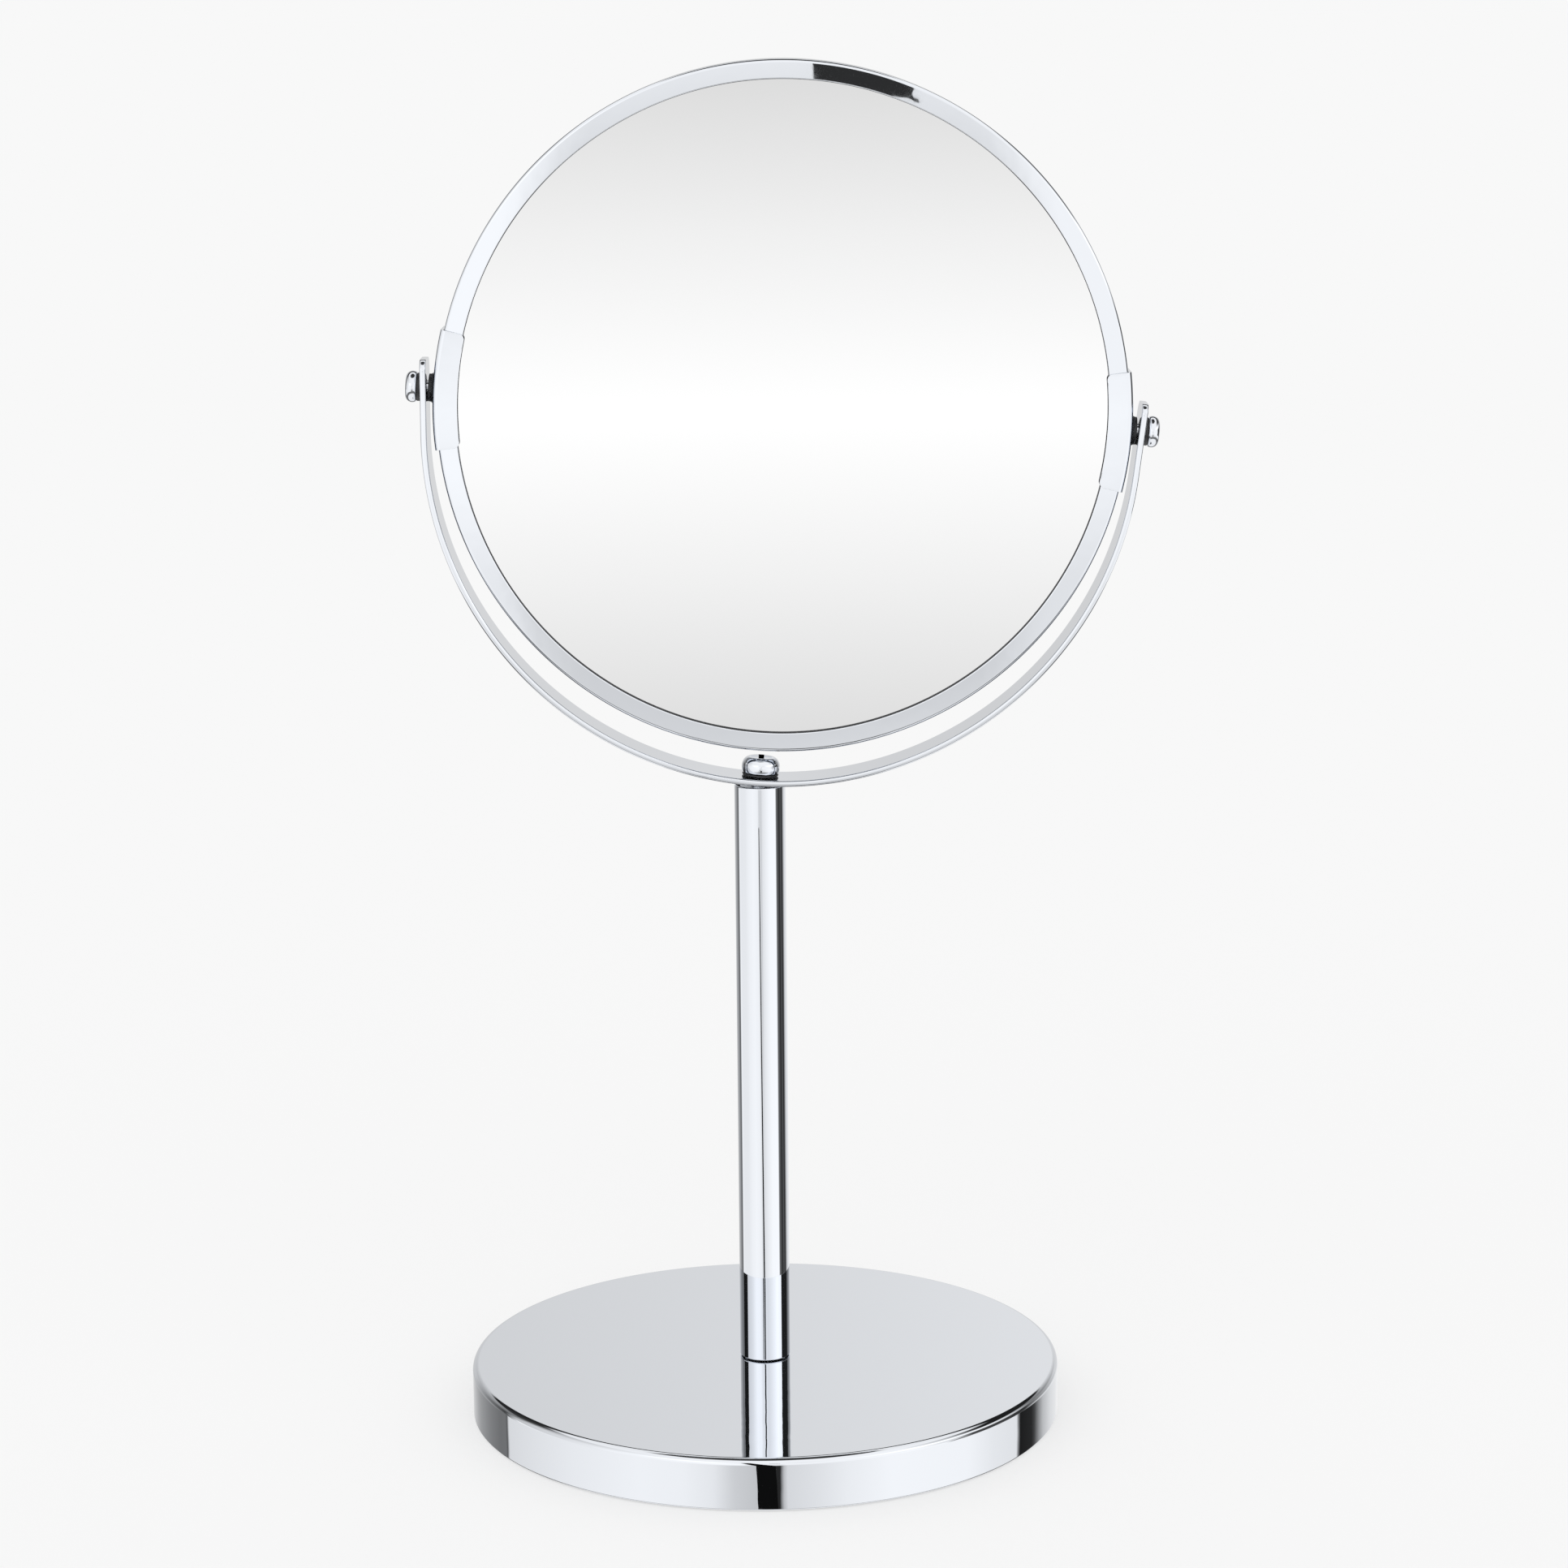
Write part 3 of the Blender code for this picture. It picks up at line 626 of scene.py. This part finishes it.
def buildYokeStrip():
    thickness, spread = yokeStrip["thickness"], yokeStrip["endSpread"]
    corner, edge = yokeStrip["cornerRound"], yokeStrip["edgeRound"]
    inverse = yokePlace.inverted()
    points = [inverse @ vertex.co for vertex in frame["nodes"]["yoke_strip"].data.vertices]
    width = 2 * max(point.y for point in points)
    endOut = max(point.x for point in points)
    endUp = max(point.z for point in points) - thickness * math.sin(spread)
    bendRadius = (endOut - endUp * math.tan(spread)) * math.cos(spread) / (1 - math.sin(spread))
    bend = math.pi / 2 - spread
    bendLength = bendRadius * bend
    straight = (endUp - bendRadius * (1 - math.cos(bend))) / math.cos(spread)
    halfLength = bendLength + straight
    edgeSteps = yokeStrip["edgeSteps"]

    stations = [bendLength * k / yokeStrip["bendSteps"] for k in range(yokeStrip["bendSteps"] + 1)]
    for k in range(1, yokeStrip["straightSteps"] + 1):
        stations.append(bendLength + (straight - corner) * k / yokeStrip["straightSteps"])
    for k in range(1, yokeStrip["cornerSteps"] + 1):
        turn = math.pi / 2 * k / yokeStrip["cornerSteps"]
        stations.append(halfLength - corner * (1 - math.sin(turn)))
    stations = [-s for s in reversed(stations[1:])] + stations

    shape = bmesh.new()
    rows = []
    for station in stations:
        side = math.copysign(1, station)
        turn = min(abs(station), bendLength) / bendRadius
        beyond = max(abs(station) - bendLength, 0)
        x = side * (bendRadius * math.sin(turn) + beyond * math.cos(turn))
        z = bendRadius * (1 - math.cos(turn)) + beyond * math.sin(turn)
        inward = (-side * math.sin(turn), math.cos(turn))
        past = max(abs(station) - (halfLength - corner), 0)
        half = width / 2 - corner + math.sqrt(max(corner ** 2 - past ** 2, 0))
        section = [
            *arcPoints((half - edge, edge), edge, -90, 0, edgeSteps),
            *arcPoints((half - edge, thickness - edge), edge, 0, 90, edgeSteps),
            *arcPoints((edge - half, thickness - edge), edge, 90, 180, edgeSteps),
            *arcPoints((edge - half, edge), edge, 180, 270, edgeSteps),
        ]
        rows.append([
            shape.verts.new((x + inward[0] * depth, y, z + inward[1] * depth))
            for y, depth in section
        ])
    count = len(rows[0])
    for row, following in zip(rows, rows[1:]):
        for k in range(count):
            after = (k + 1) % count
            shape.faces.new((row[k], row[after], following[after], following[k]))
    shape.faces.new(rows[0])
    shape.faces.new(rows[-1])
    strip = meshObject("yokeStrip", shape, yokePlace)

    reach = yokeStrip["boreReach"]
    span = endOut + reach
    cutAway(strip, [
        boreCutter("screwBore", softRing["yokeBore"], -reach, reach, yokePlace, turns["bore"]),
        boreCutter("pivotBore", softRing["pivotBore"], -span, span, pivotPlace[1], turns["bore"]),
    ])
    finishPiece(strip, "yoke", stripChrome, ["yoke_strip"])


rim = {
    "sheet": 1.0 * mm,
    "lipWidth": 4.8 * mm,
    "lipSlope": math.radians(2.4),  # the lips fall away outwards, as rolled sheet does
    "cornerRound": 0.9 * mm,
    "lipEdgeRound": 0.35 * mm,
    "seam": 0.4 * mm,
    "lipSteps": 8,
    "cornerSteps": 14,
    "seamDepth": 4,  # the seam's cutter over half the rim's depth
    "seamShift": 1 * mm,  # outwards, so that the cutter clears the wall
    "lipCurl": 200,  # degrees, where the lip's rolled edge turns back under
    "lipRelief": 0.05 * mm,
    "lipShadeReach": 0.35,  # of the lip's edge that gets painted shade
    "cutReach": 4 * mm,  # how far a cutter stands past the rim
}


def buildRim():
    radius, _, back = measure("rim", facePlace)
    sheet, corner, lipEdge = rim["sheet"], rim["cornerRound"], rim["lipEdgeRound"]
    lip = radius - rim["lipWidth"]
    fall = (rim["lipWidth"] - corner) * math.tan(rim["lipSlope"])
    slope = math.degrees(rim["lipSlope"])
    curled = arcPoints(
        (lip + lipEdge, back - lipEdge), lipEdge, 90 + slope, rim["lipCurl"], rim["lipSteps"]
    )
    bent = arcPoints(
        (radius - corner, back - corner - fall), corner, 0, 90 - slope, rim["cornerSteps"]
    )
    upper = [(lip + rim["lipRelief"], back - sheet), *reversed(curled), *reversed(bent)]
    lower = [(r, -h) for r, h in reversed(upper)]
    inner = [
        (radius - sheet, sheet - back + fall),
        (radius - sheet, back - sheet - fall),
    ]
    hoop = meshObject("rim", turnedShape(upper + lower + inner, turns["large"]), facePlace)
    reach, depth = rim["cutReach"], rim["lipWidth"]
    span = radius + reach
    tall = rim["seamDepth"] * back
    middle = radius - depth / 2 + rim["seamShift"]
    slot = bmesh.new()
    bmesh.ops.create_cube(slot, size=1.0)
    bmesh.ops.scale(slot, verts=slot.verts, vec=(depth + reach, tall, rim["seam"]))
    bmesh.ops.translate(slot, verts=slot.verts, vec=(middle, 0, 0))
    cutAway(hoop, [
        boreCutter("rimBore", softRing["pivotBore"], -span, span, pivotPlace[1], turns["bore"]),
        meshObject("seam", slot, headPlace),
    ])
    # painted shade: the lip's inner edge gets the dark steel finish, for the dark gap line between
    # rim and glass
    shadeReach = lip + rim["lipShadeReach"] * lipEdge
    finishPiece(hoop, "head", rimChrome, ["rim"], paintedShadeInside=shadeReach)


clip = {
    "sheet": 0.7 * mm,
    "overhang": 0.45 * mm,  # past the rim's lip, over the glass
    "arcLength": 29.3 * mm,
    "foldRound": 0.55 * mm,
    "cornerRound": 1.4 * mm,
    "edge": 0.14 * mm,
    "steps": 40,
    "foldSteps": 8,
    "boreReach": 4 * mm,
    "sharpAngle": 40,
}


def buildClip(side, label, title):
    # one folded sheet: a wall over the rim and two flanges with rounded inner corners
    outer, _, back = measure(f"clip_{label}", facePlace)
    rimRadius = measure("rim", facePlace)[0]
    flangeEdge = rimRadius - rim["lipWidth"] - clip["overhang"]
    sheet, fold, corner = clip["sheet"], clip["foldRound"], clip["cornerRound"]
    steps = clip["foldSteps"]
    half = []  # (radius, height) of the outer and inner face, from the flange's edge to the middle
    for k in range(steps + 1):
        r = flangeEdge + corner * (1 - math.cos(math.pi / 2 * k / steps))
        half.append(((r, back), (r, back - sheet)))
    centre = (outer - sheet - fold, back - sheet - fold)
    for k in range(steps + 1):
        turn = math.radians(90 - 90 * k / steps)
        cosine, sine = math.cos(turn), math.sin(turn)
        far, near = fold + sheet, fold
        half.append((
            (centre[0] + far * cosine, centre[1] + far * sine),
            (centre[0] + near * cosine, centre[1] + near * sine),
        ))
    section = half + [((a[0], -a[1]), (b[0], -b[1])) for a, b in reversed(half)]

    def reachAt(r):
        # half the clip's angle at this radius, drawn in at the rounded corners
        within = max(corner - (r - flangeEdge), 0)
        drop = corner - math.sqrt(max(corner ** 2 - within ** 2, 0))
        return clip["arcLength"] / rimRadius / 2 - drop / r

    shape = bmesh.new()
    middle = 0.0 if side > 0 else math.pi
    grids = []
    for face in (0, 1):
        grid = []
        for k in range(clip["steps"] + 1):
            share = 2 * k / clip["steps"] - 1
            row = []
            for pair in section:
                r, height = pair[face]
                angle = middle + share * reachAt(r)
                row.append(shape.verts.new((r * math.cos(angle), r * math.sin(angle), height)))
            grid.append(row)
        grids.append(grid)
    outside, within = grids
    last = len(section) - 1
    for k in range(clip["steps"]):
        for j in range(last):
            for grid in grids:
                shape.faces.new((grid[k][j], grid[k][j + 1], grid[k + 1][j + 1], grid[k + 1][j]))
        for j in (0, last):
            shape.faces.new((outside[k][j], outside[k + 1][j], within[k + 1][j], within[k][j]))
    for k in (0, clip["steps"]):
        for j in range(last):
            shape.faces.new((outside[k][j], outside[k][j + 1], within[k][j + 1], within[k][j]))
    saddle = meshObject(f"clip{title}", shape, facePlace)
    low, high = outer - clip["boreReach"], outer + clip["boreReach"]
    place = pivotPlace[side]
    cutAway(saddle, [
        boreCutter("clipBore", softRing["pivotBore"], low, high, place, turns["clipBore"]),
    ])
    finishPiece(
        saddle, "head", stripChrome, [f"clip_{label}"], clip["sharpAngle"], clip["edge"]
    )


mirrorGlass = {"arris": 0.3 * mm, "rings": 60, "midShare": 0.5, "sharpAngle": 20}


def buildMirrors():
    radius, front, back = measure("front_mirror", facePlace)
    arris, sharp = mirrorGlass["arris"], mirrorGlass["sharpAngle"]
    outline = [
        (0, front),
        (radius * mirrorGlass["midShare"], front),
        (radius - arris, front),
        (radius, front + arris),
        (radius, back - arris),
        (radius - arris, back),
        (0, back),
    ]
    flat = meshObject("frontMirror", turnedShape(outline, turns["disc"]), facePlace)
    finishPiece(flat, "head", silveredGlass, ["front_mirror"], sharp)

    # the back mirror is a shallow dish of even thickness
    radius, front, back = measure("rear_mirror", facePlace)
    points = [facePlace.inverted() @ v.co for v in frame["nodes"]["rear_mirror"].data.vertices]
    middle = [point.z for point in points if math.hypot(point.x, point.y) < 1 * mm]
    thickness = max(middle) - min(middle)
    sag = back - max(middle)
    curve = (radius ** 2 + sag ** 2) / (2 * sag)  # radius of the sphere it is bent to
    rings = mirrorGlass["rings"]
    dish = []
    for k in range(rings + 1):
        r = radius * k / rings
        dish.append((r, back - sag + curve - math.sqrt(curve ** 2 - r ** 2)))
    under = [(r, height - thickness) for r, height in dish]
    bowl = meshObject("rearMirror", turnedShape(under + dish[::-1], turns["disc"]), facePlace)
    finishPiece(bowl, "head", silveredGlass, ["rear_mirror"], sharp)


def dressHiddenNodes():
    # the pieces inside keep their CAD shape and get their real finish
    finishes = {
        "base_weight": castIron,
        "base_screw": zincSteel,
        "base_washer": zincSteel,
        "post_foot_plug": zincSteel,
        "post_top_plug": zincSteel,
        "pivot_nut_left": zincSteel,
        "pivot_nut_right": zincSteel,
        "backing_card": greyCard,
        "ring_spacer": greyCard,
    }
    for name, material in finishes.items():
        mesh = frame["nodes"][name].data
        mesh.materials.clear()
        mesh.materials.append(material)


buildBaseCover()
buildBasePad()
buildPostTube()
buildYokeScrew()
buildYokeStrip()
print("stand and yoke built")
buildRim()
for side, label, title in sides:
    buildClip(side, label, title)
buildMirrors()
buildPivots()
dressHiddenNodes()
print("mirror head built")


studio = {
    "floorSize": 60.0,  # metres
    "surround": "F8F8F8",  # paper floor and background
    "shadowShare": 0.42,  # how much of the floor's light a shadow can take
    "chromeTone": 0.83,  # what the chrome gives back of the light it meets
    "glassTone": 0.9,  # the same for the glass
}
# Light level all round, as seen in the chrome, in bands of height below and above the horizon.
# Azimuth 0 is the front and +90 the right. The side gaps between the panels are dark.
lightRings = [
    {"upTo": -48, "blend": 3.0, "levels": [(-180, 232), (-60, 238), (60, 238), (180, 232)]},
    {"upTo": -31, "blend": 3.0, "levels": [(-180, 86), (-60, 110), (60, 110), (180, 86)]},
    {"upTo": -19.4, "blend": 0.5, "levels": [
        (-180, 222), (-165, 190), (-150, 150), (-136, 124), (-127, 110), (-121.5, 112),
        (-120.5, 60), (-119.5, 215), (-110, 220), (-80, 233), (-50, 241), (-32, 239), (-20, 230),
        (-12, 205), (-3, 194), (-1.6, 194), (-1, 40), (6.6, 38), (7.2, 214), (20, 224), (32, 236),
        (50, 245), (85, 243), (100, 230), (116, 224), (117, 28), (128, 40), (131, 70), (140, 184),
        (150, 212), (168, 226), (180, 222),
    ]},
    {"upTo": -9.5, "blend": 2.0, "levels": [
        (-180, 222), (-157, 184), (-142, 160), (-132, 146), (-124, 116), (-116, 86), (-113, 190),
        (-109, 242), (-100, 231), (-72, 232), (-56, 240), (-33, 245), (-14, 241), (-8.5, 232),
        (-7, 216), (-2, 214), (4, 221), (12, 229), (22, 237), (41, 248), (73, 250), (76, 150),
        (80, 92), (95, 41), (104, 84), (111, 38), (119, 80), (125, 172), (134, 210), (150, 224),
        (180, 222),
    ]},
    {"upTo": 12.0, "blend": 4.0, "levels": [
        (-180, 204), (-150, 190), (-128, 110), (-116, 60), (-108, 190), (-60, 242), (-20, 249),
        (-7, 249), (7, 243), (25, 244), (60, 248), (76, 214), (84, 70), (116, 46), (126, 130),
        (150, 206), (180, 204),
    ]},
    {"upTo": 27.0, "blend": 1.5, "levels": [
        (-180, 214), (-175, 206), (-150, 176), (-122, 116), (-114, 120), (-104, 200), (-60, 236),
        (-38, 262), (-20, 260), (-10, 240), (6, 240), (14, 233), (30, 246), (60, 272), (80, 262),
        (112, 200), (126, 110), (138, 134), (150, 170), (175, 223), (180, 214),
    ]},
    {"upTo": 46.0, "blend": 3.0, "levels": [
        (-180, 40), (-150, 34), (-120, 60), (-100, 190), (-50, 238), (0, 242), (60, 244),
        (86, 180), (100, 30), (160, 30), (180, 40),
    ]},
    {"upTo": 68.0, "blend": 2.0, "levels": [
        (-180, 228), (-60, 238), (0, 242), (60, 242), (180, 228),
    ]},
    {"upTo": 90.0, "blend": 1.0, "levels": [(-180, 44), (-60, 70), (0, 60), (60, 50), (180, 44)]},
]
# The front panel fades up and down from its middle, as seen in the glass.
frontFade = [
    (-17, 208), (-11, 219), (-8.6, 240), (-6.2, 256),
    (-3.7, 240), (-1.2, 217), (1.5, 230), (5, 244),
]
frontPatch = {  # degrees; where the fade holds, and how softly it ends
    "width": 6.8,
    "sideBlend": 1.4,
    "foot": (-17.5, -13.0),
    "head": (8.0, 4.0),
}
# Dark cards around the object that only the chrome sees. Each row of a card is its distance
# from the middle in mm, the azimuths it spans and its height. A card may be shown only where
# one reflection is seen in another, or only to what stands near it, so that it stays out of
# plain views of the base and out of the glass.
secondBounce = ("Glossy Depth", "GREATER_THAN", 1.5)
nearOnly = ("Ray Length", "LESS_THAN", 262 * mm)
cards = {
    "leftFlag": {
        "rows": [(600, -112, -85, 160), (600, -112, -85, 296)], "level": 26, "shown": secondBounce,
    },
    "rightFlag": {
        "rows": [(600, 83, 124, 160), (600, 83, 124, 296)], "level": 32, "shown": secondBounce,
    },
    "tripodFlag": {
        "rows": [(1500, -1.9, 4.0, 480), (1500, -1.9, 4.0, 660)], "level": 12,
        "shown": secondBounce,
    },
    "cameraFlag": {
        "rows": [(1500, 1.5, 5.4, 398), (1500, 1.5, 5.4, 474)], "level": 45, "shown": None,
    },
    "standFlag": {
        "rows": [(250, -2.4, 4.2, -70), (250, -8.2, -5.0, 100)], "level": 14, "shown": nearOnly,
    },
}


def chromeLevel(level, tone):
    value = linearChannel(level / 255) / tone
    return (value, value, value, 1.0)


def azimuthStops(levels):
    tone = studio["chromeTone"]
    return [((azimuth + 180) / 360, chromeLevel(level, tone)) for azimuth, level in levels]


def buildWorld():
    # light by direction: panels, gaps and fades that only reflections show in detail
    world = bpy.data.worlds.new("studioLight")
    world.use_nodes = True
    world.cycles.sampling_method = "NONE"
    scene.world = world
    tree = world.node_tree
    background = tree.nodes["Background"]
    direction = addNode(tree, "ShaderNodeTexCoord").outputs["Generated"]
    parts = addNode(tree, "ShaderNodeSeparateXYZ", {0: direction})
    front = addNode(tree, "ShaderNodeMath", {
        0: parts.outputs["Y"], 1: -1.0,
    }, operation="MULTIPLY").outputs[0]
    around = addNode(tree, "ShaderNodeMath", {
        0: parts.outputs["X"], 1: front,
    }, operation="ARCTAN2").outputs[0]
    azimuth = addNode(tree, "ShaderNodeMath", {0: around}, operation="DEGREES").outputs[0]
    above = addNode(tree, "ShaderNodeMath", {0: parts.outputs["Z"]}, operation="ARCSINE").outputs[0]
    elevation = addNode(tree, "ShaderNodeMath", {0: above}, operation="DEGREES").outputs[0]
    share = addNode(tree, "ShaderNodeMapRange", {
        "Value": azimuth, "From Min": -180.0, "From Max": 180.0,
    }).outputs[0]

    light = None
    border = None
    for ring in lightRings:
        ramp = addNode(tree, "ShaderNodeValToRGB", {"Fac": share})
        setStops(ramp.color_ramp, azimuthStops(ring["levels"]))
        if light is None:
            light = ramp.outputs["Color"]
        else:
            step = addNode(tree, "ShaderNodeMapRange", {
                "Value": elevation, "From Min": border["upTo"] - border["blend"],
                "From Max": border["upTo"] + border["blend"],
            }, interpolation_type="SMOOTHSTEP")
            mixed = addNode(tree, "ShaderNodeMix", {
                0: step.outputs[0], 6: light, 7: ramp.outputs["Color"],
            }, data_type="RGBA")
            light = mixed.outputs[2]
        border = ring

    # front fade, which the flat mirror shows
    low, high = frontFade[0][0], frontFade[-1][0]
    height = addNode(tree, "ShaderNodeMapRange", {
        "Value": elevation, "From Min": float(low), "From Max": float(high),
    })
    fade = addNode(tree, "ShaderNodeValToRGB", {"Fac": height.outputs[0]})
    stops = []
    for degrees, level in frontFade:
        stops.append(((degrees - low) / (high - low), chromeLevel(level, studio["glassTone"])))
    setStops(fade.color_ramp, stops)
    width, blend = frontPatch["width"], frontPatch["sideBlend"]
    patch = 1.0
    aside = addNode(tree, "ShaderNodeMath", {0: azimuth}, operation="ABSOLUTE").outputs[0]
    edges = (
        (aside, (width + blend, width - blend)),
        (elevation, frontPatch["foot"]),
        (elevation, frontPatch["head"]),
    )
    for angle, (outside, within) in edges:
        edge = addNode(tree, "ShaderNodeMapRange", {
            "Value": angle, "From Min": outside, "From Max": within,
        }, interpolation_type="SMOOTHSTEP")
        patch = addNode(tree, "ShaderNodeMath", {
            0: edge.outputs[0], 1: patch,
        }, operation="MULTIPLY").outputs[0]
    light = addNode(tree, "ShaderNodeMix", {
        0: patch, 6: light, 7: fade.outputs["Color"],
    }, data_type="RGBA").outputs[2]

    # the camera and matt surfaces see plain even light
    ray = addNode(tree, "ShaderNodeLightPath")
    surround = addNode(tree, "ShaderNodeMix", {
        0: ray.outputs["Is Camera Ray"],
        6: (1.0, 1.0, 1.0, 1.0), 7: linearColour(studio["surround"]),
    }, data_type="RGBA")
    seen = addNode(tree, "ShaderNodeMix", {
        0: ray.outputs["Is Glossy Ray"], 6: surround.outputs[2], 7: light,
    }, data_type="RGBA")
    tree.links.new(seen.outputs[2], background.inputs["Color"])


def buildFloor():
    shape = bmesh.new()
    bmesh.ops.create_grid(shape, x_segments=1, y_segments=1, size=studio["floorSize"] / 2)
    floor = meshObject("paperFloor", shape, Matrix.Identity(4))
    material, tree, shader = startMaterial("whiteSeamlessPaper")
    paper = linearColour(studio["surround"])
    share = studio["shadowShare"]
    shader.inputs["Base Color"].default_value = (*[c * share for c in paper[:3]], 1.0)
    shader.inputs["Roughness"].default_value = 1.0
    shader.inputs["Specular IOR Level"].default_value = 0.0
    shader.inputs["Emission Color"].default_value = paper
    shader.inputs["Emission Strength"].default_value = 1 - share
    floor.data.materials.append(material)
    floor.visible_glossy = False


def buildCards():
    for name, card in cards.items():
        shape = bmesh.new()
        rows = []
        for reach, first, last, height in card["rows"]:
            row = []
            for turn in (math.radians(first), math.radians(last)):
                corner = Vector((reach * math.sin(turn), -reach * math.cos(turn), height)) * mm
                row.append(shape.verts.new(corner))
            rows.append(row)
        for row, following in zip(rows, rows[1:]):
            shape.faces.new((row[0], row[1], following[1], following[0]))
        panel = meshObject(name, shape, Matrix.Identity(4))
        material, tree, shader = startMaterial(name + "Cloth")
        tree.nodes.remove(shader)
        output = tree.nodes["Material Output"]
        glow = addNode(tree, "ShaderNodeEmission", {
            "Color": chromeLevel(card["level"], studio["chromeTone"]),
        })
        if card["shown"]:
            measured, test, limit = card["shown"]
            ray = addNode(tree, "ShaderNodeLightPath").outputs[measured]
            shown = addNode(tree, "ShaderNodeMath", {0: ray, 1: limit}, operation=test)
            clear = addNode(tree, "ShaderNodeBsdfTransparent")
            glow = addNode(tree, "ShaderNodeMixShader", {
                0: shown.outputs[0], 1: clear.outputs[0], 2: glow.outputs[0],
            })
        tree.links.new(glow.outputs[0], output.inputs["Surface"])
        panel.data.materials.append(material)
        panel.visible_camera = False
        panel.visible_diffuse = False
        panel.visible_shadow = False


view = {
    "distance": 1.0,  # metres from the aim point
    "elevation": math.radians(11.46),
    "aimSide": 6.0 * mm,
    "aimHeight": 162.0 * mm,
    "roll": math.radians(-0.48),
    "lens": 92.37,  # millimetres on a 36 mm sensor
}


def buildCamera():
    tilt, roll = view["elevation"], view["roll"]
    forward = Vector((0, math.cos(tilt), -math.sin(tilt)))
    level = Vector((1, 0, 0))
    upward = Vector((0, math.sin(tilt), math.cos(tilt)))
    right = level * math.cos(roll) + upward * math.sin(roll)
    up = upward * math.cos(roll) - level * math.sin(roll)
    aim = Vector((view["aimSide"], 0, view["aimHeight"]))
    lens = bpy.data.cameras.new("portraitLens")
    lens.lens = view["lens"]
    lens.sensor_width = 36.0
    lens.clip_end = 200.0
    camera = bpy.data.objects.new("camera", lens)
    scene.collection.objects.link(camera)
    axes = Matrix((right, up, -forward)).transposed().to_4x4()
    camera.matrix_world = Matrix.Translation(aim - forward * view["distance"]) @ axes
    scene.camera = camera


scene.view_settings.view_transform = "Standard"  # a white studio keeps its whites
buildWorld()
buildFloor()
buildCards()
buildCamera()
print("studio built")
